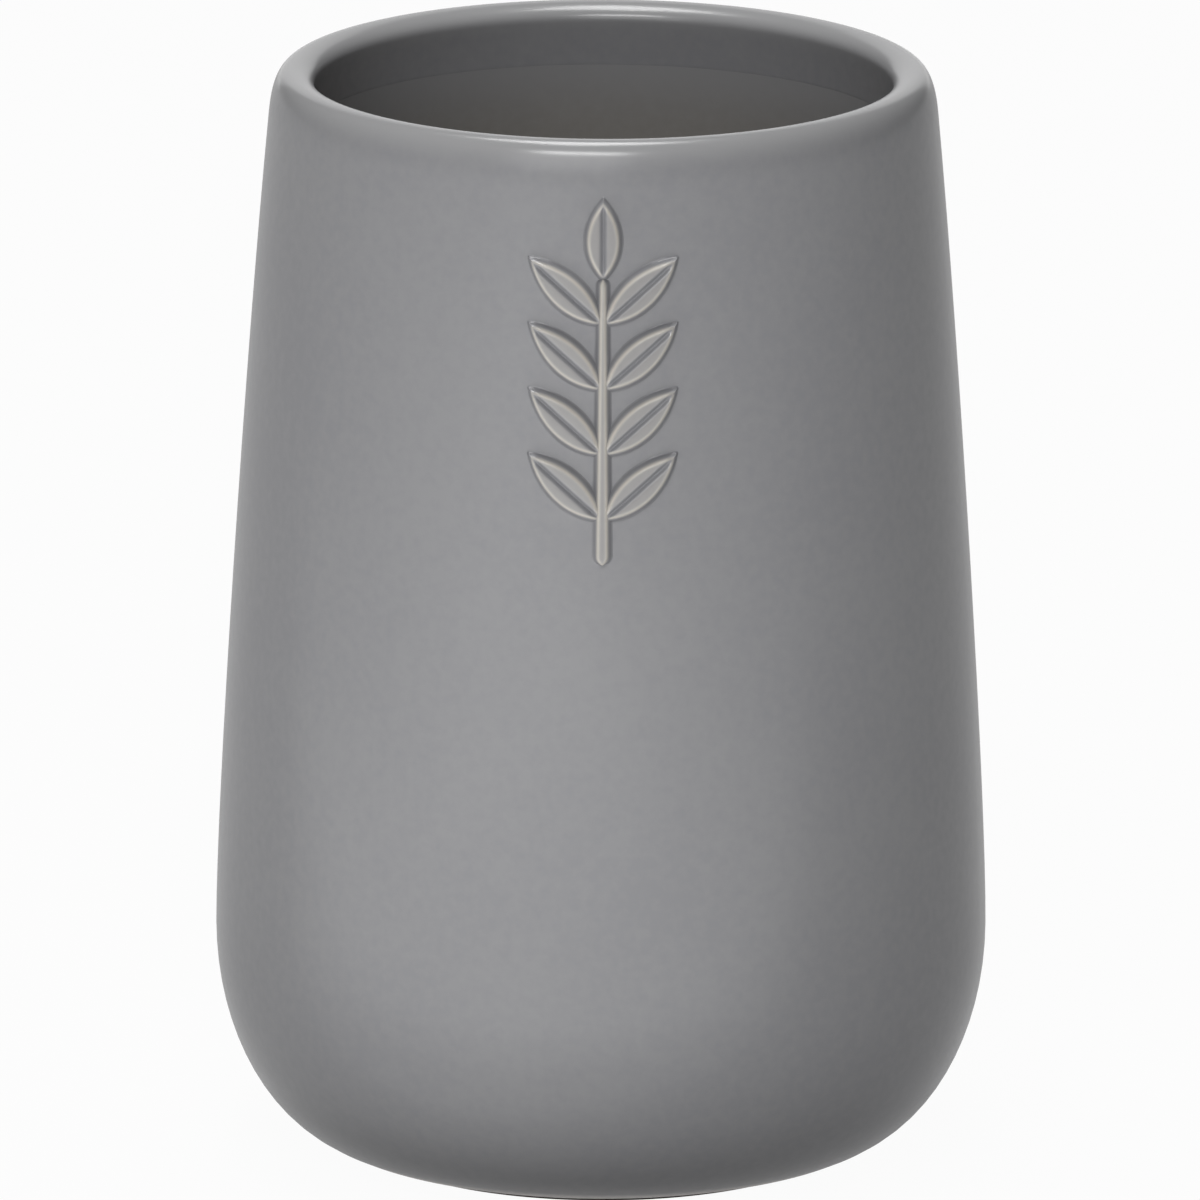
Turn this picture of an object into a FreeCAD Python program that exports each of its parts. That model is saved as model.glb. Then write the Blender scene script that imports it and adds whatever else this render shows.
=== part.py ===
"""Bathroom tumbler of cast stoneware under grey glaze, with a leaf sprig raised on its front.

Lengths are in millimetres and angles in degrees. The origin is the centre of the foot, +Z is up,
and the sprig is on the front, towards -Y.
"""

import FreeCAD, Part
import math
import os

# Outside of the glazed cup
overall_height = 110.0
belly_radius = 38.6
belly_height = 22.5
shoulder_radius = 33.3
wall_lean = 5.4

# Lip: its width across, how far it rises above the shoulder and rolls down into the mouth
lip_width = 4.5
lip_rise = 4.5
lip_roll = 1.8

# Foot ring and the recess inside it
foot_radius = 24.5
foot_height = 0.6
foot_ring_width = 4.5
foot_edge_radius = 0.25
base_recess = 1.6

# Clay and glaze
clay_wall = 3.2
clay_floor = 4.0
glaze_thickness = 0.5
base_glaze_margin = 0.8

# Leaf sprig raised on the front
sprig_length = 36.0
sprig_width = 14.4
sprig_drop = 1.0
relief_height = 0.9
relief_seat_gap = 0.1
leaf_pairs = 4
leaf_width = 3.4
leaf_lift = 42.0
tip_leaf_length = 8.0
crown_gap = 4.4
stem_width = 1.5
stem_tip_width = 0.9
stem_tail = 4.2

# Room that a pressed outline has in front of the relief
cut_overrun = 5.0

# Shares that shape the curves: each handle is a share of the run that its curve makes
round_handle_share = 0.5523
wall_low_handle_share = 0.148
wall_high_handle_share = 0.299
lip_rise_handle_share = 0.373
lip_top_handle_share = 0.766
lip_roll_handle_share = 0.55
crest_share = 0.5
glaze_line_share = 0.1
glaze_join_share = 0.055
leaf_side_share = 2 / 3
leaf_handle_shares = (0.28, 0.68)

# Directions in the half section, which stands in the XZ plane
outward = FreeCAD.Vector(1, 0, 0)
upward = FreeCAD.Vector(0, 0, 1)
lean = math.radians(wall_lean)
along_wall = FreeCAD.Vector(-math.sin(lean), 0, math.cos(lean))
into_wall = FreeCAD.Vector(-math.cos(lean), 0, -math.sin(lean))

# Places that several pieces share
shoulder = FreeCAD.Vector(shoulder_radius, 0, overall_height - lip_rise)
mouth = FreeCAD.Vector(shoulder_radius - lip_width, 0, overall_height - lip_roll)
crest_radius = shoulder_radius - crest_share * lip_width
inner_belly_radius = belly_radius - clay_wall - 2 * glaze_thickness
recess_radius = foot_radius - foot_ring_width
clay_underside = base_recess + glaze_thickness
floor_height = clay_underside + clay_floor + glaze_thickness
front_reach = belly_radius + relief_height + cut_overrun

# Places along the sprig
sprig_top = shoulder.z - sprig_drop
sprig_bottom = sprig_top - sprig_length
stem_top = sprig_top - tip_leaf_length
first_leaf_height = sprig_bottom + stem_tail
leaf_pitch = (stem_top - crown_gap - first_leaf_height) / (leaf_pairs - 1)
leaf_length = sprig_width / 2 / math.cos(math.radians(leaf_lift))


def section_point(radius, height):
    """A point of the half section."""
    return FreeCAD.Vector(radius, 0, height)


def cubic(*poles):
    """A smooth curve with one handle at each end."""
    curve = Part.BezierCurve()
    curve.setPoles(list(poles))
    return curve


def quarter_round(low, high):
    """A curve that leaves its low end level and reaches its high end upright."""
    level_handle = outward * (round_handle_share * (high.x - low.x))
    upright_handle = upward * (round_handle_share * (high.z - low.z))
    return cubic(low, low + level_handle, high - upright_handle, high)


def low_round(inset):
    """Outside of the cup from the foot to the belly, set in by the inset."""
    foot = section_point(foot_radius, foot_height + inset)
    belly = section_point(belly_radius - inset, belly_height)
    return quarter_round(foot, belly)


def outer_wall(inset):
    """Outside of the cup from the belly to the shoulder."""
    belly = section_point(belly_radius - inset, belly_height)
    top = shoulder + into_wall * inset
    run = top.z - belly.z
    low_handle = upward * (wall_low_handle_share * run)
    high_handle = along_wall * (wall_high_handle_share * run)
    return cubic(belly, belly + low_handle, top - high_handle, top)


def lip_outside(inset):
    """Lip from the shoulder up to its crest."""
    start = shoulder + into_wall * inset
    crest = section_point(crest_radius, overall_height - inset)
    rise_handle = along_wall * (lip_rise_handle_share * (crest.z - start.z))
    top_handle = outward * (lip_top_handle_share * (start.x - crest.x))
    return cubic(start, start + rise_handle, crest + top_handle, crest)


def lip_inside(inset):
    """Lip from its crest down into the mouth."""
    crest = section_point(crest_radius, overall_height - inset)
    end = mouth - into_wall * inset
    top_handle = outward * (lip_roll_handle_share * (crest.x - end.x))
    roll_handle = along_wall * (lip_roll_handle_share * (crest.z - end.z))
    return cubic(crest, crest - top_handle, end + roll_handle, end)


def inner_wall(inset):
    """Inside of the cup from the mouth down to the belly."""
    top = mouth - into_wall * inset
    belly = section_point(inner_belly_radius + inset, belly_height)
    run = top.z - belly.z
    high_handle = along_wall * (wall_high_handle_share * run)
    low_handle = upward * (wall_low_handle_share * run)
    return cubic(top, top - high_handle, belly + low_handle, belly)


def inner_round(inset):
    """Inside of the cup from the floor to the belly."""
    floor = section_point(foot_radius, floor_height - inset)
    belly = section_point(inner_belly_radius + inset, belly_height)
    return quarter_round(floor, belly)


def line(start, end):
    """A straight edge."""
    return Part.LineSegment(start, end).toShape()


def turned(edges, angle=360):
    """The solid that a closed half section sweeps about the cup's axis, by way of the front."""
    wire = Part.Wire(Part.__sortEdges__(edges))
    return Part.Face(wire).revolve(FreeCAD.Vector(0, 0, 0), -upward, angle)


def floor_edge(inset):
    """Level floor of the cup from the axis to the inner round."""
    height = floor_height - inset
    return line(section_point(0, height), section_point(foot_radius, height))


def foot_corner(radius, turn):
    """Rounded lower edge of the foot ring; turn is 1 where the ring lies towards the axis."""
    diagonal_share = math.sqrt(0.5)
    centre = section_point(radius - turn * foot_edge_radius, foot_edge_radius)
    side = centre + outward * (turn * foot_edge_radius)
    middle = centre + (outward * turn - upward) * (diagonal_share * foot_edge_radius)
    bottom = centre - upward * foot_edge_radius
    return Part.Arc(side, middle, bottom).toShape()


def foot_edges():
    """Bare foot ring and the clay underside, from the low round in to the axis."""
    ring_top = section_point(foot_radius, foot_height + glaze_thickness)
    recess_top = section_point(recess_radius, clay_underside)
    return [
        line(ring_top, section_point(foot_radius, foot_edge_radius)),
        foot_corner(foot_radius, 1),
        line(
            section_point(foot_radius - foot_edge_radius, 0),
            section_point(recess_radius + foot_edge_radius, 0),
        ),
        foot_corner(recess_radius, -1),
        line(section_point(recess_radius, foot_edge_radius), recess_top),
        line(recess_top, section_point(0, clay_underside)),
    ]


def stoneware_body():
    """The cast cup: wall, lip, floor and bare foot ring in one piece of clay."""
    curves = (low_round, outer_wall, lip_outside, lip_inside, inner_wall, inner_round)
    edges = [curve(glaze_thickness).toShape() for curve in curves]
    edges.append(floor_edge(glaze_thickness))
    edges.append(line(section_point(0, clay_underside), section_point(0, floor_height - glaze_thickness)))
    return turned(edges + foot_edges())


def across_glaze(curve, share):
    """The edge across a coat of glaze at a share of the way along its curve."""
    return line(curve(0).value(share), curve(glaze_thickness).value(share))


def outer_glaze():
    """Glaze from just above the foot up the outside, over the lip and a little way into the mouth."""
    edges = [across_glaze(low_round, glaze_line_share), across_glaze(inner_wall, glaze_join_share)]
    for inset in (0, glaze_thickness):
        edges.append(low_round(inset).toShape(glaze_line_share, 1))
        edges += [curve(inset).toShape() for curve in (outer_wall, lip_outside, lip_inside)]
        edges.append(inner_wall(inset).toShape(0, glaze_join_share))
    return turned(edges)


def lining_glaze():
    """Glaze on the inside, from where the outer coat ends down over the floor."""
    edges = [across_glaze(inner_wall, glaze_join_share)]
    edges.append(line(section_point(0, floor_height - glaze_thickness), section_point(0, floor_height)))
    for inset in (0, glaze_thickness):
        edges.append(inner_wall(inset).toShape(glaze_join_share, 1))
        edges.append(inner_round(inset).toShape())
        edges.append(floor_edge(inset))
    return turned(edges)


def base_glaze():
    """Disc of glaze on the underside, wiped back from the foot ring."""
    radius = recess_radius - base_glaze_margin
    return Part.makeCylinder(radius, glaze_thickness, section_point(0, base_recess))


def relief_shell():
    """The layer in front of the clay wall that the sprig stands in, over the front half turn.

    Its faces are turned into splines, which the leaf outlines cut cleanly at any size.
    """
    seat = outer_wall(glaze_thickness - relief_seat_gap)
    crown = outer_wall(-relief_height)
    belly_end = line(seat.StartPoint, crown.StartPoint)
    shoulder_end = line(seat.EndPoint, crown.EndPoint)
    return turned([seat.toShape(), crown.toShape(), belly_end, shoulder_end], 180).toNurbs()


def front_point(across, height):
    """A point of the sprig's outline, drawn on a plane in front of the cup."""
    return FreeCAD.Vector(across, -front_reach, height)


def pressed(edges):
    """An outline pushed straight back from the front to the cup's axis."""
    face = Part.Face(Part.Wire(Part.__sortEdges__(edges)))
    return face.extrude(FreeCAD.Vector(0, front_reach, 0))


def leaf_outline(base, direction, length):
    """A leaf, widest near its middle and pointed at both ends."""
    across = FreeCAD.Vector(-direction.z, 0, direction.x)
    tip = base + direction * length
    edges = []
    for side in (1, -1):
        swell = across * (side * leaf_side_share * leaf_width)
        handles = [base + direction * (share * length) + swell for share in leaf_handle_shares]
        edges.append(cubic(base, *handles, tip).toShape())
    return pressed(edges)


def stem_outline():
    """A tapered stem with round ends."""
    low_half = stem_width / 2
    top_half = stem_tip_width / 2
    low = sprig_bottom + low_half
    high = stem_top - top_half
    return pressed([
        Part.Arc(
            front_point(-low_half, low), front_point(0, sprig_bottom), front_point(low_half, low)
        ).toShape(),
        Part.Arc(
            front_point(-top_half, high), front_point(0, stem_top), front_point(top_half, high)
        ).toShape(),
        line(front_point(-low_half, low), front_point(-top_half, high)),
        line(front_point(low_half, low), front_point(top_half, high)),
    ])


def tip_leaf_outline():
    """The leaf that ends the sprig."""
    base = front_point(0, stem_top - stem_tip_width / 2)
    return leaf_outline(base, upward, sprig_top - base.z)


def side_leaf_outline(pair, side):
    """A leaf of one pair, counted from the bottom; side is -1 on the left and 1 on the right."""
    lift = math.radians(leaf_lift)
    direction = FreeCAD.Vector(side * math.cos(lift), 0, math.sin(lift))
    base = front_point(0, first_leaf_height + pair * leaf_pitch)
    return leaf_outline(base, direction, leaf_length)


def build_sprig():
    """The sprig's pieces by name, and the outlines that they were pressed with."""
    shell = relief_shell()
    stem = stem_outline()
    tip = tip_leaf_outline()
    pieces = {
        "sprig_stem": shell.common(stem),
        "sprig_tip_leaf": shell.common(tip).cut(stem),
    }
    outlines = [stem, tip]
    for pair in range(leaf_pairs):
        for side_name, side in (("left", -1), ("right", 1)):
            outline = side_leaf_outline(pair, side)
            pieces[f"sprig_leaf_{pair + 1}_{side_name}"] = shell.common(outline).cut([stem, tip])
            outlines.append(outline)
    return pieces, outlines


def build_tumbler():
    """Every piece of the tumbler by name."""
    sprig, outlines = build_sprig()
    pieces = {
        "stoneware_body": stoneware_body(),
        "outer_glaze": outer_glaze().cut(outlines),
        "lining_glaze": lining_glaze(),
        "base_glaze": base_glaze(),
    }
    pieces.update(sprig)
    return pieces


os.makedirs("parts", exist_ok=True)
for name, shape in build_tumbler().items():
    shape.exportStep(f"parts/{name}.step")
    print(name, "solids", len(shape.Solids), "valid", shape.isValid(), "volume", round(shape.Volume, 2))
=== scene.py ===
"""Bathroom tumbler: a stoneware cup under satin grey glaze, with a leaf sprig on its front.

The file is laid out as an add-on and run as a script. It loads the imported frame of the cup, models
each coat of glaze, the clay and the sprig over it, gives them their finish and sets up the stage.
Lengths are in metres. The cup stands on z = 0 with its axis on Z, and its front looks towards -Y.
"""

import bisect
import math

import bpy
from bpy.props import FloatProperty, FloatVectorProperty, PointerProperty
from mathutils import Matrix, Vector


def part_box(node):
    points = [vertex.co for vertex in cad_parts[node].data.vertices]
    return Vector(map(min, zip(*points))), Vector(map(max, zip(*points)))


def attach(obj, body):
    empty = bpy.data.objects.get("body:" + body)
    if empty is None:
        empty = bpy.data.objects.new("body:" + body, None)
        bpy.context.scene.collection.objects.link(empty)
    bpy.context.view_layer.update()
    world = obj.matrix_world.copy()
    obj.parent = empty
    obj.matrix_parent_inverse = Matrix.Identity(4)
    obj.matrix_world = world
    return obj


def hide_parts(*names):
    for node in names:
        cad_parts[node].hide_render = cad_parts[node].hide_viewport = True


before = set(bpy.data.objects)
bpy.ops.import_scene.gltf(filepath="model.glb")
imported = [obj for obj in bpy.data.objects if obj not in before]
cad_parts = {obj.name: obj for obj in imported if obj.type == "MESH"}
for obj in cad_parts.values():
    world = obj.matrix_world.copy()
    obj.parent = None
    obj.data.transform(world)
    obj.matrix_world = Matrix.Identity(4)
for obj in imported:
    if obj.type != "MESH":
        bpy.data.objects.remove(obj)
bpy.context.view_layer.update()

bl_info = {
    "name": "Glazed Bathroom Tumbler",
    "version": (1, 0, 0),
    "blender": (4, 5, 0),
    "location": "View3D > Sidebar > Tumbler",
    "description": "Models a glazed stoneware tumbler with a raised leaf sprig, and its stage",
    "category": "Add Mesh",
}

MM = 0.001
BODY = "root"

# Corners of the CAD nodes that the pieces take their places from
GLAZE_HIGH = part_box("outer_glaze")[1]
STEM_LOW, STEM_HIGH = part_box("sprig_stem")
TIP_LEAF_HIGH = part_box("sprig_tip_leaf")[1]
SIDE_LEAVES = sorted(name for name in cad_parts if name.startswith("sprig_leaf_"))
SPRIG_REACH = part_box(SIDE_LEAVES[0])[0].x

# Handles that shape the half section and the leaf: each is a share of the run that its curve makes
ROUND_HANDLE_SHARE = 0.5523
WALL_LOW_HANDLE_SHARE = 0.148
WALL_HIGH_HANDLE_SHARE = 0.299
LIP_RISE_HANDLE_SHARE = 0.373
LIP_TOP_HANDLE_SHARE = 0.766
LIP_ROLL_HANDLE_SHARE = 0.55
LEAF_HANDLE_SHARES = (0.28, 0.68)

# Where the crest lies, as a share of the lip's width in from the shoulder
CREST_SHARE = 0.5

# Where a coat begins or ends: a share of the round above the foot, and two of the inside wall
GLAZE_LINE_SHARE = 0.1
GLAZE_JOIN_SHARE = 0.055
LINING_START_SHARE = 0.045

# Leaf: how fast it rises at its neck and its rib ends at its tip, how high the neck starts, and
# how far the glaze pools in the rib
LEAF_END_SLOPE = 3
LEAF_NECK_SHARE = 0.75
RIB_POOL_AMOUNT = 0.8

# How the glaze lies over the relief, from its edge in: places and spreads are shares of the ramp
POOL_PLACE, POOL_SPREAD, POOL_AMOUNT = 0.2, 0.2, 0.6
BROW_PLACE, BROW_SPREAD, BROW_AMOUNT = 0.8, 0.22, 0.72
TOP_START, TOP_FULL, TOP_AMOUNT = 0.4, 0.8, 0.22

# Fineness of the meshes
PROFILE_STEPS = 16
TURN_STEPS = 256
LEAF_ROWS, LEAF_COLUMNS = 56, 44
BORDER_STEPS = 4 * LEAF_ROWS
STEM_ROWS, STEM_COLUMNS = 120, 24
WALL_SAMPLES = 240
MERGE_DISTANCE = 0.002 * MM

# Satin glaze: size and detail of its clouds, its mottle and its orange peel, and what they vary
CLOUD_SIZE, CLOUD_DETAIL, CLOUD_RANGE = 22 * MM, 3.0, (0.75, 1.25)
MOTTLE_SIZE, MOTTLE_DETAIL = 1.1 * MM, 2.0
PEEL_SIZE, PEEL_DETAIL = 2.6 * MM, 1.0
PEEL_STRENGTH, PEEL_DEPTH = 0.35, 0.02 * MM
GLAZE_ROUGHNESS = (0.21, 0.26)

# Bare stoneware: size and detail of its grit and its grain
GRIT_SIZE, GRIT_DETAIL, GRIT_RANGE = 0.5 * MM, 3.0, (0.45, 0.75)
GRAIN_SIZE, GRAIN_DETAIL = 0.25 * MM, 2.0
GRAIN_STRENGTH, GRAIN_DEPTH = 0.6, 0.04 * MM
CLAY_ROUGHNESS = 0.85

# Index of refraction of glaze and clay
CERAMIC_IOR = 1.5

# Softboxes: azimuth from the camera to the right and lift, in degrees, distance, width and height
SOFTBOXES = {
    "key": (-9, 43, 1.2, 0.55, 0.12),
    "top": (-150, 83, 1.0, 0.45, 0.45),
    "back": (180, 16, 1.5, 1.3, 1.3),
    "fill": (-12, 22, 1.2, 0.8, 0.5),
}

# Card on the floor in front of the cup: each sheet's width and how near it comes to the cup's axis
CARD_SHEETS = ((0.4, 0.085), (0.65, 0.06), (0.95, 0.042))
CARD_LENGTH = 1.3
CARD_TURN = math.radians(-20)
CARD_STEP = 1 * MM

# Floor and camera
FLOOR_SIZE = 40
FLOOR_PAINT = (0.45, 0.45, 0.45, 1.0)
SENSOR_WIDTH = 36
CLIP_END = 10

# Where the glaze fades to another tone: height where that starts, height of the full share, share
# Foot fade: a pale band where the glaze ends thin above the foot, made paler still as painted light
# where that edge catches the lamps
FOOT_THIN_AND_PAINTED_LIGHT_FADE = (2.2 * MM, 1.3 * MM, 1.0)
# Lip fade: paler where the glaze runs thin over the lip, and painted light on the lip's upward faces
LIP_THIN_AND_PAINTED_LIGHT_FADE = (107.0 * MM, 109.6 * MM, 1.0)
JOIN_FADE_DEPTH, JOIN_FADE_SHARE = 9 * MM, 0.9

# Name of the mesh attribute that says how thin the glaze lies: 1 thin and pale, -1 pooled and dark
THINNESS = "glaze_thinness"

OUTWARD = Vector((1, 0, 0))
UPWARD = Vector((0, 0, 1))


def linear(hex_colour):
    """An sRGB hex colour as linear red, green, blue and alpha."""
    channels = [int(hex_colour[i:i + 2], 16) / 255 for i in (0, 2, 4)]
    curve = [c / 12.92 if c <= 0.04045 else ((c + 0.055) / 1.055) ** 2.4 for c in channels]
    return (*curve, 1.0)


def length(name, metres, description):
    """A length that the user can set."""
    return FloatProperty(
        name=name, description=description, default=metres, unit="LENGTH", precision=5
    )


def angle(name, degrees, description):
    """An angle that the user can set."""
    return FloatProperty(
        name=name, description=description, default=math.radians(degrees), unit="ROTATION"
    )


def number(name, value, description):
    """A plain factor that the user can set."""
    return FloatProperty(name=name, description=description, default=value)


def colour(name, hex_colour, description):
    """A colour that the user can set."""
    return FloatVectorProperty(
        name=name, description=description, default=linear(hex_colour), size=4,
        subtype="COLOR", min=0.0, max=1.0,
    )


class TumblerCup(bpy.types.PropertyGroup):
    """Sizes of the cup and its coats of glaze."""

    height: length("Height", GLAZE_HIGH.z, "From the foot to the crest of the lip")
    belly_radius: length("Belly radius", GLAZE_HIGH.x, "Outside of the cup at its widest")
    belly_height: length("Belly height", 22.5 * MM, "Where the cup is widest")
    shoulder_radius: length("Shoulder radius", 33.3 * MM, "Outside of the wall under the lip")
    wall_lean: angle("Wall lean", 5.4, "How far the wall leans in at the shoulder")
    lip_width: length("Lip width", 4.5 * MM, "Across the lip from the shoulder to the mouth")
    lip_rise: length("Lip rise", 4.5 * MM, "From the shoulder up to the crest")
    lip_roll: length("Lip roll", 1.8 * MM, "From the crest down to where the mouth begins")
    foot_radius: length("Foot radius", 24.5 * MM, "Outside of the bare foot ring")
    foot_height: length("Foot height", 0.6 * MM, "Height of the glazed outside above the ground")
    foot_ring_width: length("Foot ring width", 4.5 * MM, "Across the flat foot ring")
    foot_edge_radius: length("Foot edge radius", 0.25 * MM, "Rounding of the foot ring's edges")
    base_recess: length("Base recess", 1.6 * MM, "Depth of the glazed recess under the cup")
    base_margin: length("Base margin", 0.8 * MM, "Bare clay between that glaze and the foot ring")
    clay_wall: length("Clay wall", 3.2 * MM, "Thickness of the clay wall")
    clay_floor: length("Clay floor", 4.0 * MM, "Thickness of the clay floor")
    glaze: length("Glaze", 0.5 * MM, "Thickness of each coat of glaze")
    lining_step: length("Lining step", 0.01 * MM, "How far the lining lies behind the outer coat")


class TumblerSprig(bpy.types.PropertyGroup):
    """Sizes of the leaf sprig."""

    rise: length("Rise", 0.9 * MM, "How far the leaves stand out of the glaze")
    stem_rise: length("Stem rise", 0.75 * MM, "How far the stem stands out of the glaze")
    flare: length("Flare", 0.3 * MM, "How far the glaze fills the corner round the relief")
    ramp: length("Ramp", 0.75 * MM, "Distance over which the relief rises to its full height")
    leaf_width: length("Leaf width", 3.4 * MM, "Across a leaf at its widest")
    leaf_lift: angle("Leaf lift", 42.0, "How steeply the side leaves rise")
    rib_width: length("Rib width", 0.5 * MM, "Across the groove along the middle of a leaf")
    rib_depth: length("Rib depth", 0.3 * MM, "Depth of that groove")
    stem_width: length("Stem width", 1.5 * MM, "Across the stem at its foot")
    stem_tip_width: length("Stem tip width", 0.9 * MM, "Across the stem at its top")
    root: length("Root", 0.3 * MM, "How deep the relief reaches into the glaze")


class TumblerFinish(bpy.types.PropertyGroup):
    """Colours of the glazes and the clay."""

    glaze: colour("Glaze", "929294", "Satin grey glaze")
    glaze_cloud: colour("Glaze cloud", "8d8d90", "Darker clouds in the grey glaze")
    pooled: colour("Pooled glaze", "707074", "Where the glaze lies thick round the relief")
    thin: colour("Thin glaze", "cbc6bd", "Where the glaze breaks thin over the relief")
    # Paler lip: thin glaze, and painted light on the lip's upward faces
    lip: colour("Lip glaze", "9a9a9b", "Where the glaze runs thin over the lip")
    # Pale band above the foot: thin glaze, and painted light on the foot's edge
    foot_thin_glaze_and_painted_light: colour("Glaze line", "e2d6cf", "Where the glaze ends thin above the foot")
    lining: colour("Lining", "94918d", "The warmer glaze inside")
    lining_cloud: colour("Lining cloud", "8e8b87", "Darker clouds in the lining")
    clay: colour("Clay", "b7a79d", "Bare fired stoneware")
    clay_grit: colour("Clay grit", "93847b", "Grit in the bare stoneware")


class TumblerStage(bpy.types.PropertyGroup):
    """Camera, lamps and floor."""

    camera_distance: length("Camera distance", 2.2, "From the camera to the cup's axis")
    camera_lift: angle("Camera lift", 14.32, "How far the camera looks down")
    camera_roll: angle("Camera roll", 0.19, "How far the camera leans to its left")
    camera_side: length("Camera side", -0.2 * MM, "How far the camera stands to the right")
    aim_height: length("Aim height", 55.5 * MM, "Height on the cup's axis that the camera looks at")
    lens: number("Lens", 660.0, "Focal length in millimetres on a 36 mm sensor")
    key_power: number("Key power", 4.5, "Soft lamp above the camera and to its left, in watts")
    fill_power: number("Fill power", 1.9, "Broad soft lamp just above the camera, in watts")
    top_power: number("Top power", 6.5, "Soft lamp overhead, in watts")
    back_power: number("Back power", 4.3, "Large soft lamp low behind the cup, in watts")
    card_power: number("Card power", 2.8, "Bright card on the floor in front of the cup, in watts")
    ambient: number("Ambient", 0.02, "Level of the even light from all round")
    floor_glow: number("Floor glow", 0.96, "How far the floor shows to the camera as plain white")
    floor_shine: number("Floor shine", 0.45, "How far it shows as plain white in reflections")


# Half section of the cup: cubic curves in the XZ plane, set into the glaze by an inset

def at(radius, height):
    """A point of the half section."""
    return Vector((radius, 0, height))


def straight(start, end):
    """A straight run as a cubic curve."""
    return [start, start.lerp(end, 1 / 3), start.lerp(end, 2 / 3), end]


def backwards(curves):
    """The same curves, drawn from their other end."""
    return [curve[::-1] for curve in reversed(curves)]


def split(curve, share):
    """The two parts of a curve before and after a share of its way."""
    start, leave, arrive, end = curve
    low, high = start.lerp(leave, share), arrive.lerp(end, share)
    middle = leave.lerp(arrive, share)
    early, late = low.lerp(middle, share), middle.lerp(high, share)
    knot = early.lerp(late, share)
    return [start, low, early, knot], [knot, late, high, end]


def round_end(before, after):
    """A round nose from the end of one curve to the start of the one that runs back beside it."""
    start, end = before[-1], after[0]
    reach = (start - before[-2]).normalized() * ((end - start).length * 2 / 3)
    return [start, start + reach, end + reach, end]


def quarter_round(low, high):
    """A curve that leaves its low end level and reaches its high end upright."""
    level = OUTWARD * (ROUND_HANDLE_SHARE * (high.x - low.x))
    upright = UPWARD * (ROUND_HANDLE_SHARE * (high.z - low.z))
    return [low, low + level, high - upright, high]


def along_wall(cup):
    """Direction up the wall at the shoulder."""
    return Vector((-math.sin(cup.wall_lean), 0, math.cos(cup.wall_lean)))


def into_wall(cup):
    """Direction square to the wall at the shoulder, into the clay."""
    return Vector((-math.cos(cup.wall_lean), 0, -math.sin(cup.wall_lean)))


def shoulder(cup, inset):
    """Where the wall ends and the lip begins."""
    return at(cup.shoulder_radius, cup.height - cup.lip_rise) + into_wall(cup) * inset


def crest(cup, inset):
    """Highest point of the lip."""
    return at(cup.shoulder_radius - CREST_SHARE * cup.lip_width, cup.height - inset)


def mouth(cup, inset):
    """Where the lip ends and the inside wall begins."""
    edge = at(cup.shoulder_radius - cup.lip_width, cup.height - cup.lip_roll)
    return edge - into_wall(cup) * inset


def floor_height(cup):
    """Height of the glazed floor inside the cup."""
    return cup.base_recess + cup.clay_floor + 2 * cup.glaze


def low_round(cup, inset):
    """Outside from the foot to the belly."""
    belly = at(cup.belly_radius - inset, cup.belly_height)
    return quarter_round(at(cup.foot_radius, cup.foot_height + inset), belly)


def outer_wall(cup, inset):
    """Outside from the belly to the shoulder."""
    belly, top = at(cup.belly_radius - inset, cup.belly_height), shoulder(cup, inset)
    low = UPWARD * (WALL_LOW_HANDLE_SHARE * (top.z - belly.z))
    high = along_wall(cup) * (WALL_HIGH_HANDLE_SHARE * (top.z - belly.z))
    return [belly, belly + low, top - high, top]


def lip_outside(cup, inset):
    """Lip from the shoulder up to its crest."""
    start, end = shoulder(cup, inset), crest(cup, inset)
    rise = along_wall(cup) * (LIP_RISE_HANDLE_SHARE * (end.z - start.z))
    top = OUTWARD * (LIP_TOP_HANDLE_SHARE * (start.x - end.x))
    return [start, start + rise, end + top, end]


def lip_inside(cup, inset):
    """Lip from its crest down into the mouth."""
    start, end = crest(cup, inset), mouth(cup, inset)
    top = OUTWARD * (LIP_ROLL_HANDLE_SHARE * (start.x - end.x))
    roll = along_wall(cup) * (LIP_ROLL_HANDLE_SHARE * (start.z - end.z))
    return [start, start - top, end + roll, end]


def inner_belly(cup, inset):
    """Widest point of the inside."""
    return at(cup.belly_radius - cup.clay_wall - 2 * cup.glaze + inset, cup.belly_height)


def inner_wall(cup, inset):
    """Inside from the mouth down to the belly."""
    top, belly = mouth(cup, inset), inner_belly(cup, inset)
    high = along_wall(cup) * (WALL_HIGH_HANDLE_SHARE * (top.z - belly.z))
    low = UPWARD * (WALL_LOW_HANDLE_SHARE * (top.z - belly.z))
    return [top, top - high, belly + low, belly]


def inner_bowl(cup, inset):
    """Inside from the belly down to the middle of the floor."""
    edge = at(cup.foot_radius, floor_height(cup) - inset)
    return [quarter_round(edge, inner_belly(cup, inset))[::-1], straight(edge, at(0, edge.z))]


# Modelling

def start_piece():
    """Deselects everything, the frame's own nodes included."""
    bpy.ops.object.select_all(action="DESELECT")


def draw_profile(name, curves, closed):
    """Draws a half section as one Bezier curve and turns it into a line of mesh edges."""
    start_piece()
    bpy.ops.curve.primitive_bezier_curve_add()
    profile = bpy.context.object
    profile.name = name
    profile.data.resolution_u = PROFILE_STEPS
    spline = profile.data.splines[0]
    knots = len(curves) if closed else len(curves) + 1
    spline.bezier_points.add(knots - len(spline.bezier_points))
    spline.use_cyclic_u = closed
    for point in spline.bezier_points:
        point.handle_left_type = point.handle_right_type = "FREE"
    for index, (start, leave, arrive, end) in enumerate(curves):
        here, there = spline.bezier_points[index], spline.bezier_points[(index + 1) % knots]
        here.co, here.handle_right = start, leave
        there.co, there.handle_left = end, arrive
    bpy.ops.object.convert(target="MESH")
    return bpy.context.object


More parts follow.
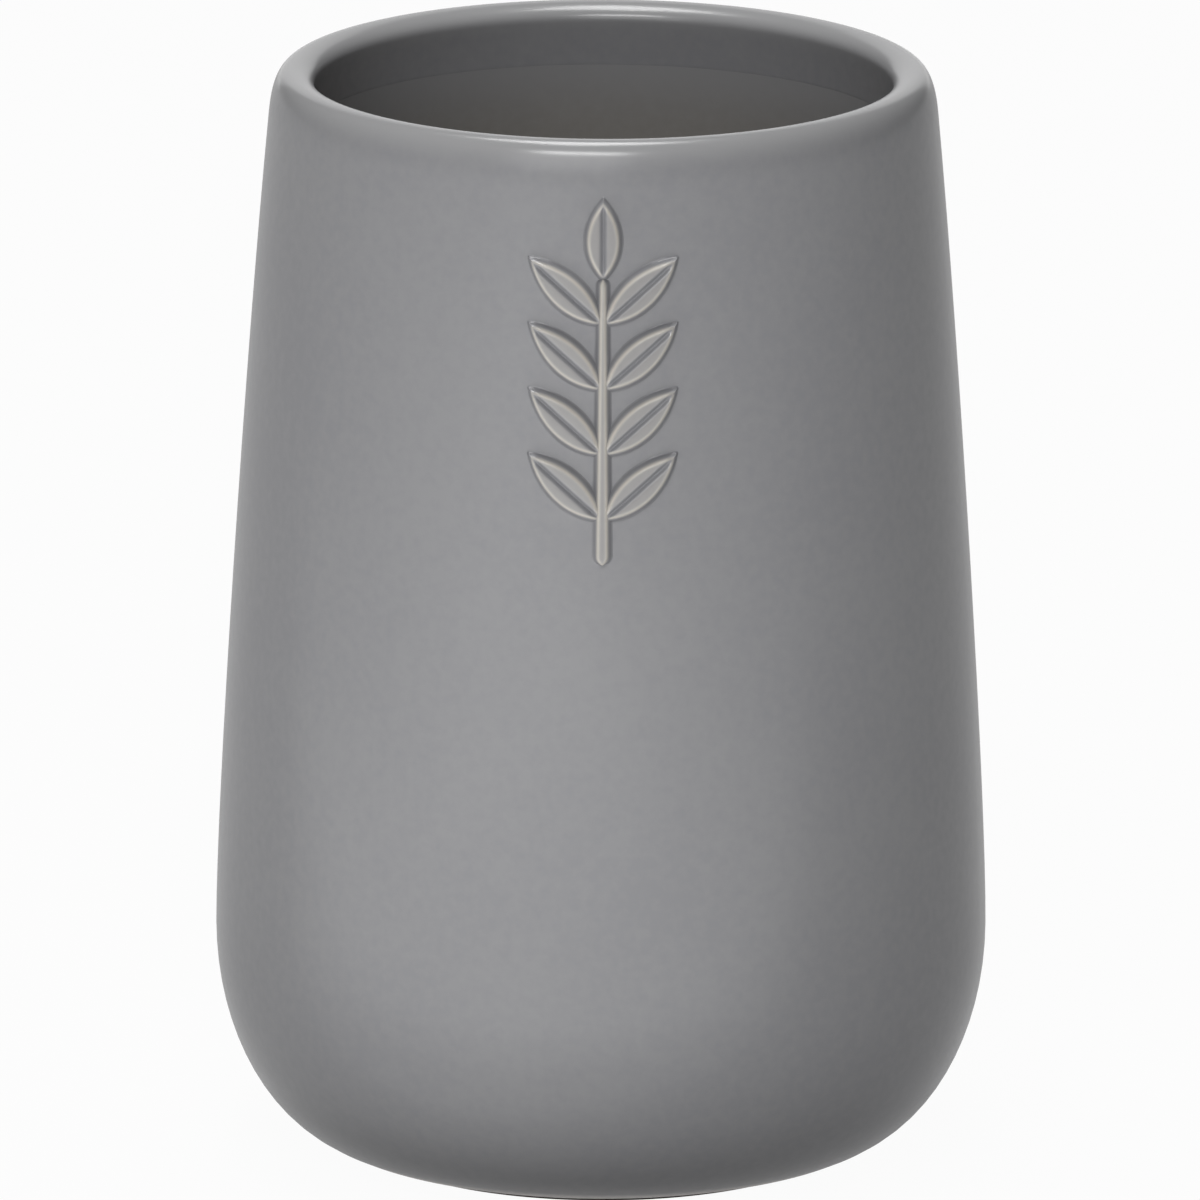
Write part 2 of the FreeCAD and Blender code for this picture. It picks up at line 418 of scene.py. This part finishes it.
def turn_piece(name, curves, closed):
    """Turns a half section about the cup's axis, as on a potter's wheel."""
    piece = draw_profile(name, curves, closed)
    bpy.ops.object.mode_set(mode="EDIT")
    bpy.ops.mesh.select_all(action="SELECT")
    bpy.ops.mesh.spin(steps=TURN_STEPS, angle=2 * math.pi, center=(0, 0, 0), axis=(0, 0, 1))
    bpy.ops.mesh.select_all(action="SELECT")
    bpy.ops.mesh.remove_doubles(threshold=MERGE_DISTANCE)
    bpy.ops.mesh.normals_make_consistent(inside=False)
    bpy.ops.object.mode_set(mode="OBJECT")
    bpy.ops.object.shade_smooth()
    return piece


def finish_piece(piece, material, slot, *nodes):
    """Gives a piece its material and puts it on the frame in place of its CAD nodes."""
    piece.data.name = piece.name
    piece.data.materials.clear()
    piece.data.materials.append(material)
    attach(piece, BODY)
    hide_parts(*nodes)


def smooth_step(share):
    """A soft ramp from 0 to 1."""
    share = min(max(share, 0.0), 1.0)
    return share * share * (3 - 2 * share)


def relief_thinness(depth, sprig):
    """How thin the glaze lies at a distance in from the edge of the relief.

    It pools round the foot, breaks thinnest over the brow and lies in between on top.
    """
    share = depth / sprig.ramp
    pool = math.exp(-((share - POOL_PLACE) / POOL_SPREAD) ** 2) * smooth_step(share / POOL_PLACE)
    brow = math.exp(-((share - BROW_PLACE) / BROW_SPREAD) ** 2)
    top = smooth_step((share - TOP_START) / (TOP_FULL - TOP_START))
    return TOP_AMOUNT * top + BROW_AMOUNT * brow - POOL_AMOUNT * pool


def model_relief(name, rows, columns, shape):
    """Shapes a grid into a piece of relief that stands out of a flat wall, and closes its back."""
    start_piece()
    bpy.ops.mesh.primitive_grid_add(x_subdivisions=rows, y_subdivisions=columns, size=1)
    piece = bpy.context.object
    piece.name = name
    thinness = piece.data.attributes.new(THINNESS, "FLOAT", "POINT")
    for vertex in piece.data.vertices:
        vertex.co, thinness.data[vertex.index].value = shape(vertex.co.x + 0.5, 2 * vertex.co.y)
    root = bpy.context.scene.tumbler_sprig.root
    bpy.ops.object.mode_set(mode="EDIT")
    bpy.ops.mesh.select_all(action="SELECT")
    bpy.ops.mesh.remove_doubles(threshold=MERGE_DISTANCE)
    bpy.ops.mesh.select_mode(type="EDGE")
    bpy.ops.mesh.select_all(action="DESELECT")
    bpy.ops.mesh.select_non_manifold(use_wire=False, use_multi_face=False, use_verts=False)
    bpy.ops.mesh.extrude_edges_move(TRANSFORM_OT_translate={"value": (0, root, 0)})
    bpy.ops.mesh.edge_face_add()
    bpy.ops.mesh.select_all(action="SELECT")
    bpy.ops.mesh.normals_make_consistent(inside=False)
    bpy.ops.object.mode_set(mode="OBJECT")
    bpy.ops.object.shade_smooth()
    return piece


def leaf_border(leaf_length, sprig):
    """Border of a leaf and its flare of glaze: half widths at steps from the base to the tip."""
    first, second = LEAF_HANDLE_SHARES
    edge = []
    for step in range(BORDER_STEPS + 1):
        along = step / BORDER_STEPS
        rest = 1 - along
        run = 3 * rest * rest * along * first + 3 * rest * along * along * second + along ** 3
        edge.append((run * leaf_length, 2 * along * rest * sprig.leaf_width))
    border = []
    for step in range(BORDER_STEPS + 1):
        turn = math.pi * step / BORDER_STEPS
        run = leaf_length / 2 - (leaf_length / 2 + sprig.flare) * math.cos(turn)
        reach = [(half, sprig.flare ** 2 - (run - x) ** 2) for x, half in edge]
        widths = [half + math.sqrt(room) for half, room in reach if room > 0]
        border.append((run, max(widths, default=0.0)))
    return border


def model_leaf(name, leaf_length, sprig):
    """A leaf that points along X: soft edges, a full middle and a groove for its rib."""
    border = leaf_border(leaf_length, sprig)

    def shape(along, across):
        run, half = border[round(along * BORDER_STEPS)]
        side = across * half
        depth = min(math.hypot(run - x, abs(side) - y) for x, y in border)
        body = smooth_step(depth / sprig.ramp)
        rib_end = smooth_step(LEAF_END_SLOPE * (1 - along))
        groove = math.exp(-((2 * side / sprig.rib_width) ** 2)) * rib_end * body
        neck = LEAF_NECK_SHARE + (1 - LEAF_NECK_SHARE) * smooth_step(LEAF_END_SLOPE * along)
        rise = sprig.rise * neck * body - sprig.rib_depth * groove
        thinness = relief_thinness(depth, sprig) - RIB_POOL_AMOUNT * groove
        return Vector((run, -rise, side)), thinness

    return model_relief(name, LEAF_ROWS, LEAF_COLUMNS, shape)


def model_stem(name, low, high, sprig):
    """The upright stem, tapered and round at both ends."""
    reach = high - low + 2 * sprig.flare

    def shape(along, across):
        half = sprig.stem_width + (sprig.stem_tip_width - sprig.stem_width) * along
        half = half / 2 + sprig.flare
        to_end = min(along, 1 - along) * reach
        if to_end < half:
            half = math.sqrt(half * half - (half - to_end) ** 2)
        depth = (1 - abs(across)) * half
        rise = sprig.stem_rise * smooth_step(depth / sprig.ramp)
        place = Vector((across * half, -rise, low - sprig.flare + along * reach))
        return place, relief_thinness(depth, sprig)

    return model_relief(name, STEM_ROWS, STEM_COLUMNS, shape)


def seat_on_wall(piece, cup):
    """Presses a flat relief straight back on to the outside wall."""
    curve = outer_wall(cup, 0)
    knots = [split(curve, step / WALL_SAMPLES)[0][-1] for step in range(WALL_SAMPLES + 1)]
    heights = [knot.z for knot in knots]
    for vertex in piece.data.vertices:
        across, rise, height = vertex.co.x, -vertex.co.y, vertex.co.z
        step = min(max(bisect.bisect(heights, height), 1), WALL_SAMPLES)
        below, above = knots[step - 1], knots[step]
        radius = below.lerp(above, (height - below.z) / (above.z - below.z)).x
        facing = Vector((across, -math.sqrt(radius * radius - across * across), 0))
        tilt = math.atan2(below.x - above.x, above.z - below.z)
        square = facing.normalized() * math.cos(tilt) + UPWARD * math.sin(tilt)
        vertex.co = facing + UPWARD * height + square * rise
    piece.data.update()


# Materials

def add_node(tree, kind, inputs, **settings):
    """Adds a node; each input is a value or another node's output."""
    node = tree.nodes.new(kind)
    for name, value in settings.items():
        setattr(node, name, value)
    for socket, source in inputs.items():
        if isinstance(source, bpy.types.NodeSocket):
            tree.links.new(source, node.inputs[socket])
        else:
            node.inputs[socket].default_value = source
    return node


def empty_tree(owner):
    """The node tree of a material or a world, without the nodes that it comes with."""
    owner.use_nodes = True
    owner.node_tree.nodes.clear()
    return owner.node_tree


def noise(tree, place, size, detail):
    """Smooth noise with grains of one size."""
    inputs = {"Vector": place, "Scale": 1 / size, "Detail": detail}
    return add_node(tree, "ShaderNodeTexNoise", inputs).outputs[0]


def stretch(tree, value, low, high, to=(0.0, 1.0), interpolation="LINEAR"):
    """A value between two bounds, stretched to lie between two others."""
    inputs = {"Value": value, "From Min": low, "From Max": high, "To Min": to[0], "To Max": to[1]}
    return add_node(tree, "ShaderNodeMapRange", inputs, interpolation_type=interpolation).outputs[0]


def blend(tree, share, tone, other_tone):
    """One tone that goes over to another by a share."""
    inputs = {0: share, 6: tone, 7: other_tone}
    return add_node(tree, "ShaderNodeMix", inputs, data_type="RGBA").outputs[2]


def bump(tree, height, strength, depth):
    """Fine unevenness of a surface."""
    inputs = {"Height": height, "Strength": strength, "Distance": depth}
    return add_node(tree, "ShaderNodeBump", inputs).outputs[0]


def ceramic(tree, tone, roughness, normal):
    """The shader at the end of a material."""
    inputs = {"Base Color": tone, "Roughness": roughness, "Normal": normal, "IOR": CERAMIC_IOR}
    shader = add_node(tree, "ShaderNodeBsdfPrincipled", inputs)
    add_node(tree, "ShaderNodeOutputMaterial", {"Surface": shader.outputs[0]})


def satin_glaze(name, tone, cloud_tone, finish, relief=False, fades=()):
    """Satin stoneware glaze, sprayed on and fired.

    It gives a broad soft sheen over an even grey with faint clouds and a fine mottle, and a
    barely felt orange peel. Over relief it breaks thin and pale, and it pools dark in corners.
    Each fade names the heights between which the glaze goes over to another tone, how far it
    goes, and that tone.
    """
    material = bpy.data.materials.new(name)
    tree = empty_tree(material)
    place = add_node(tree, "ShaderNodeTexCoord", {}).outputs["Object"]
    cloud = noise(tree, place, CLOUD_SIZE, CLOUD_DETAIL)
    mottle = noise(tree, place, MOTTLE_SIZE, MOTTLE_DETAIL)
    spread = add_node(tree, "ShaderNodeMath", {0: cloud, 1: mottle}, operation="ADD").outputs[0]
    body = blend(tree, stretch(tree, spread, *CLOUD_RANGE), tone, cloud_tone)
    height = add_node(tree, "ShaderNodeSeparateXYZ", {"Vector": place}).outputs["Z"]
    for start, full, most, other_tone in fades:
        share = stretch(tree, height, start, full, (0.0, most), "SMOOTHSTEP")
        body = blend(tree, share, body, other_tone)
    if relief:
        thinness = add_node(tree, "ShaderNodeAttribute", {}, attribute_name=THINNESS).outputs["Fac"]
        body = blend(tree, stretch(tree, thinness, 0.0, -1.0), body, finish.pooled)
        body = blend(tree, stretch(tree, thinness, 0.0, 1.0), body, finish.thin)
    peel = noise(tree, place, PEEL_SIZE, PEEL_DETAIL)
    rough = stretch(tree, cloud, 0.0, 1.0, GLAZE_ROUGHNESS)
    ceramic(tree, body, rough, bump(tree, peel, PEEL_STRENGTH, PEEL_DEPTH))
    return material


def bare_stoneware(finish):
    """Bare fired stoneware, wiped clean with a sponge: dull, pale and gritty."""
    material = bpy.data.materials.new("Fired stoneware, sponged")
    tree = empty_tree(material)
    place = add_node(tree, "ShaderNodeTexCoord", {}).outputs["Object"]
    grit = noise(tree, place, GRIT_SIZE, GRIT_DETAIL)
    body = blend(tree, stretch(tree, grit, *GRIT_RANGE), finish.clay, finish.clay_grit)
    grain = noise(tree, place, GRAIN_SIZE, GRAIN_DETAIL)
    ceramic(tree, body, CLAY_ROUGHNESS, bump(tree, grain, GRAIN_STRENGTH, GRAIN_DEPTH))
    return material


def grey_glaze(relief=False):
    """The grey glaze, plain or over the relief; made once and shared."""
    finish = bpy.context.scene.tumbler_finish
    name = "Satin grey glaze over relief" if relief else "Satin grey glaze"
    made = bpy.data.materials.get(name)
    return made or satin_glaze(name, finish.glaze, finish.glaze_cloud, finish, relief)


# Operators, one for each piece or group of like pieces

class TUMBLER_OT_clay(bpy.types.Operator):
    """Model the cast stoneware cup with its bare foot ring"""

    bl_idname = "tumbler.clay"
    bl_label = "Stoneware"

    def execute(self, context):
        cup, finish = context.scene.tumbler_cup, context.scene.tumbler_finish
        edge = cup.foot_edge_radius
        recess = cup.foot_radius - cup.foot_ring_width
        underside = cup.base_recess + cup.glaze
        outside = quarter_round(at(cup.foot_radius - edge, 0), at(cup.foot_radius, edge))
        inside = quarter_round(at(recess + edge, 0), at(recess, edge))
        low = low_round(cup, cup.glaze)
        curves = [
            straight(at(0, underside), at(recess, underside)),
            straight(at(recess, underside), at(recess, edge)),
            inside[::-1],
            straight(at(recess + edge, 0), at(cup.foot_radius - edge, 0)),
            outside,
            straight(at(cup.foot_radius, edge), low[0]),
            low,
            outer_wall(cup, cup.glaze),
            lip_outside(cup, cup.glaze),
            lip_inside(cup, cup.glaze),
            inner_wall(cup, cup.glaze),
            *inner_bowl(cup, cup.glaze),
        ]
        piece = turn_piece("cast_stoneware", curves, closed=False)
        finish_piece(piece, bare_stoneware(finish), "bare_stoneware", "stoneware_body")
        return {"FINISHED"}


class TUMBLER_OT_outer_glaze(bpy.types.Operator):
    """Model the grey coat on the outside, over the lip and into the mouth"""

    bl_idname = "tumbler.outer_glaze"
    bl_label = "Outer glaze"

    def execute(self, context):
        cup, finish = context.scene.tumbler_cup, context.scene.tumbler_finish
        faces = []
        for inset in (0, cup.glaze):
            faces.append([
                split(low_round(cup, inset), GLAZE_LINE_SHARE)[1],
                outer_wall(cup, inset),
                lip_outside(cup, inset),
                lip_inside(cup, inset),
                split(inner_wall(cup, inset), GLAZE_JOIN_SHARE)[0],
            ])
        front, back = faces[0], backwards(faces[1])
        curves = front + [round_end(front[-1], back[0])] + back + [round_end(back[-1], front[0])]
        piece = turn_piece("outer_coat", curves, closed=True)
        # Both fades pale the coat: thin glaze at the foot and over the lip, and painted light where
        # those edges catch the lamps
        material = satin_glaze(
            "Satin grey glaze, thin at its edges", finish.glaze, finish.glaze_cloud, finish,
            fades=[(*FOOT_THIN_AND_PAINTED_LIGHT_FADE, finish.foot_thin_glaze_and_painted_light), (*LIP_THIN_AND_PAINTED_LIGHT_FADE, finish.lip)],
        )
        finish_piece(piece, material, "grey_glaze", "outer_glaze")
        return {"FINISHED"}


class TUMBLER_OT_lining(bpy.types.Operator):
    """Model the warmer coat inside the cup"""

    bl_idname = "tumbler.lining"
    bl_label = "Lining glaze"

    def execute(self, context):
        cup, finish = context.scene.tumbler_cup, context.scene.tumbler_finish
        faces = []
        for inset in (cup.lining_step, cup.glaze):
            wall = split(inner_wall(cup, inset), LINING_START_SHARE)[1]
            faces.append([wall, *inner_bowl(cup, inset)])
        front, back = backwards(faces[0]), faces[1]
        curves = front + [round_end(front[-1], back[0])] + back
        piece = turn_piece("lining_coat", curves, closed=False)
        join = front[-1][-1].z
        material = satin_glaze(
            "Satin taupe lining glaze", finish.lining, finish.lining_cloud, finish,
            fades=[(join - JOIN_FADE_DEPTH, join, JOIN_FADE_SHARE, finish.glaze)],
        )
        finish_piece(piece, material, "lining_glaze", "lining_glaze")
        return {"FINISHED"}


class TUMBLER_OT_base_glaze(bpy.types.Operator):
    """Model the disc of glaze in the recess under the cup"""

    bl_idname = "tumbler.base_glaze"
    bl_label = "Base glaze"

    def execute(self, context):
        cup = context.scene.tumbler_cup
        radius = cup.foot_radius - cup.foot_ring_width - cup.base_margin
        top, bottom = cup.base_recess + cup.glaze, cup.base_recess
        upper = straight(at(0, top), at(radius - cup.glaze / 2, top))
        lower = straight(at(radius - cup.glaze / 2, bottom), at(0, bottom))
        piece = turn_piece("base_coat", [upper, round_end(upper, lower), lower], closed=False)
        finish_piece(piece, grey_glaze(), "grey_glaze", "base_glaze")
        return {"FINISHED"}


class TUMBLER_OT_stem(bpy.types.Operator):
    """Model the stem of the sprig"""

    bl_idname = "tumbler.stem"
    bl_label = "Sprig stem"

    def execute(self, context):
        cup, sprig = context.scene.tumbler_cup, context.scene.tumbler_sprig
        piece = model_stem("glazed_stem", STEM_LOW.z, STEM_HIGH.z, sprig)
        seat_on_wall(piece, cup)
        finish_piece(piece, grey_glaze(relief=True), "relief_glaze", "sprig_stem")
        return {"FINISHED"}


class TUMBLER_OT_leaves(bpy.types.Operator):
    """Model one leaf, copy it to each place along the stem, and end the sprig with a tip leaf"""

    bl_idname = "tumbler.leaves"
    bl_label = "Sprig leaves"

    def execute(self, context):
        cup, sprig = context.scene.tumbler_cup, context.scene.tumbler_sprig
        reach = abs(SPRIG_REACH)
        pattern = model_leaf("leaf_pattern", reach / math.cos(sprig.leaf_lift), sprig)
        for node in SIDE_LEAVES:
            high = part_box(node)[1]
            turn = sprig.leaf_lift if node.endswith("right") else math.pi - sprig.leaf_lift
            base = high.z - reach * math.tan(sprig.leaf_lift)
            self.place_copy(pattern, node, turn, base, cup)
        bpy.data.objects.remove(pattern)
        tip = model_leaf("tip_pattern", TIP_LEAF_HIGH.z - STEM_HIGH.z, sprig)
        self.place_copy(tip, "sprig_tip_leaf", math.pi / 2, STEM_HIGH.z, cup)
        bpy.data.objects.remove(tip)
        return {"FINISHED"}

    def place_copy(self, pattern, node, turn, base, cup):
        """Copies the flat leaf, turns it up from +X about its base, and seats it on the wall."""
        start_piece()
        pattern.select_set(True)
        bpy.context.view_layer.objects.active = pattern
        bpy.ops.object.duplicate()
        leaf = bpy.context.object
        leaf.name = node.replace("sprig", "glazed")
        leaf.data.transform(Matrix.Translation(UPWARD * base) @ Matrix.Rotation(-turn, 4, "Y"))
        seat_on_wall(leaf, cup)
        finish_piece(leaf, grey_glaze(relief=True), "relief_glaze", node)


class TUMBLER_OT_stage(bpy.types.Operator):
    """Set up the pale floor, the soft lamps, the surroundings and the camera"""

    bl_idname = "tumbler.stage"
    bl_label = "Stage"

    def execute(self, context):
        stage = context.scene.tumbler_stage
        self.lay_floor(stage)
        self.light_surroundings(context.scene, stage)
        aim = Vector((0, 0, stage.aim_height))
        for name, lamp in SOFTBOXES.items():
            self.hang_softbox(name + "_softbox", aim, lamp, getattr(stage, name + "_power"))
        for sheet, (width, near) in enumerate(CARD_SHEETS):
            power = stage.card_power / len(CARD_SHEETS)
            self.lay_card("front_card_%d" % sheet, sheet, width, near, power)
        self.place_camera(context.scene, stage, aim)
        context.scene.view_settings.view_transform = "Standard"
        return {"FINISHED"}

    def seen_share(self, tree, stage):
        """How far the floor shows as plain white: to the camera, in reflections, through glass."""
        path = add_node(tree, "ShaderNodeLightPath", {}).outputs
        rays = {0: path["Is Camera Ray"], 1: path["Is Transmission Ray"]}
        seen = add_node(tree, "ShaderNodeMath", rays, operation="MAXIMUM").outputs[0]
        glow = {0: seen, 1: stage.floor_glow}
        seen = add_node(tree, "ShaderNodeMath", glow, operation="MULTIPLY").outputs[0]
        shine = {0: path["Is Glossy Ray"], 1: stage.floor_shine, 2: seen}
        return add_node(tree, "ShaderNodeMath", shine, operation="MULTIPLY_ADD").outputs[0]

    def lay_floor(self, stage):
        """A wide white floor that keeps the cup's shadow."""
        start_piece()
        bpy.ops.mesh.primitive_plane_add(size=FLOOR_SIZE)
        floor = bpy.context.object
        floor.name = "studio_floor"
        material = bpy.data.materials.new("White studio floor")
        tree = empty_tree(material)
        paint = add_node(tree, "ShaderNodeBsdfDiffuse", {"Color": FLOOR_PAINT})
        white = add_node(tree, "ShaderNodeEmission", {"Strength": 1.0})
        inputs = {0: self.seen_share(tree, stage), 1: paint.outputs[0], 2: white.outputs[0]}
        mix = add_node(tree, "ShaderNodeMixShader", inputs)
        add_node(tree, "ShaderNodeOutputMaterial", {"Surface": mix.outputs[0]})
        floor.data.materials.append(material)

    def light_surroundings(self, scene, stage):
        """Weak even light from all round, as from the walls of a room."""
        world = bpy.data.worlds.new("Studio room")
        tree = empty_tree(world)
        light = {"Color": (1, 1, 1, 1), "Strength": stage.ambient}
        room = add_node(tree, "ShaderNodeBackground", light)
        add_node(tree, "ShaderNodeOutputWorld", {"Surface": room.outputs[0]})
        scene.world = world

    def add_lamp(self, name, place, turn, size, power):
        """A rectangular lamp that the camera doesn't see."""
        bpy.ops.object.light_add(type="AREA", location=place, rotation=turn)
        lamp = bpy.context.object
        lamp.name = name
        lamp.data.shape = "RECTANGLE"
        lamp.data.size, lamp.data.size_y = size
        lamp.data.energy = power
        lamp.visible_camera = False

    def hang_softbox(self, name, aim, lamp, power):
        """A softbox that looks at the cup."""
        azimuth, lift = math.radians(lamp[0]), math.radians(lamp[1])
        distance, *size = lamp[2:]
        level = math.cos(lift)
        way = Vector((math.sin(azimuth) * level, -math.cos(azimuth) * level, math.sin(lift)))
        turn = way.to_track_quat("Z", "Y").to_euler()
        self.add_lamp(name, aim + way * distance, turn, size, power)

    def lay_card(self, name, sheet, width, near, power):
        """One sheet of the bright card in front of the cup, which lights it from the floor."""
        distance = near + CARD_LENGTH / 2
        side, front = math.sin(CARD_TURN) * distance, -math.cos(CARD_TURN) * distance
        place = (side, front, (sheet + 1) * CARD_STEP)
        self.add_lamp(name, place, (math.pi, 0.0, CARD_TURN), (width, CARD_LENGTH), power)

    def place_camera(self, scene, stage, aim):
        """The camera, a little above the cup and in front of it."""
        back = Vector((0, -math.cos(stage.camera_lift), math.sin(stage.camera_lift)))
        place = aim + back * stage.camera_distance + OUTWARD * stage.camera_side
        roll = Matrix.Rotation(stage.camera_roll, 4, "Z")
        turn = back.to_track_quat("Z", "Y").to_matrix().to_4x4() @ roll
        bpy.ops.object.camera_add(location=place, rotation=turn.to_euler())
        camera = bpy.context.object
        camera.name = "studio_camera"
        camera.data.sensor_width = SENSOR_WIDTH
        camera.data.lens = stage.lens
        camera.data.clip_end = CLIP_END
        scene.camera = camera


class VIEW3D_PT_tumbler(bpy.types.Panel):
    """The tumbler's operators and settings"""

    bl_label = "Tumbler"
    bl_space_type = "VIEW_3D"
    bl_region_type = "UI"
    bl_category = "Tumbler"

    def draw(self, context):
        for operator in OPERATORS:
            self.layout.operator(operator.bl_idname)
        for group_name in GROUPS:
            group = getattr(context.scene, group_name)
            box = self.layout.box()
            for setting in group.bl_rna.properties:
                if setting.identifier not in ("rna_type", "name"):
                    box.prop(group, setting.identifier)


OPERATORS = (
    TUMBLER_OT_clay,
    TUMBLER_OT_outer_glaze,
    TUMBLER_OT_lining,
    TUMBLER_OT_base_glaze,
    TUMBLER_OT_stem,
    TUMBLER_OT_leaves,
    TUMBLER_OT_stage,
)
GROUPS = {
    "tumbler_cup": TumblerCup,
    "tumbler_sprig": TumblerSprig,
    "tumbler_finish": TumblerFinish,
    "tumbler_stage": TumblerStage,
}


def register():
    for group_name, group in GROUPS.items():
        bpy.utils.register_class(group)
        setattr(bpy.types.Scene, group_name, PointerProperty(type=group))
    for operator in OPERATORS:
        bpy.utils.register_class(operator)
    bpy.utils.register_class(VIEW3D_PT_tumbler)


def unregister():
    bpy.utils.unregister_class(VIEW3D_PT_tumbler)
    for operator in reversed(OPERATORS):
        bpy.utils.unregister_class(operator)
    for group_name, group in reversed(GROUPS.items()):
        delattr(bpy.types.Scene, group_name)
        bpy.utils.unregister_class(group)


def main():
    """Registers the add-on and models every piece."""
    register()
    bpy.ops.tumbler.clay()
    bpy.ops.tumbler.outer_glaze()
    bpy.ops.tumbler.lining()
    bpy.ops.tumbler.base_glaze()
    bpy.ops.tumbler.stem()
    bpy.ops.tumbler.leaves()
    bpy.ops.tumbler.stage()


if __name__ == "__main__":
    main()
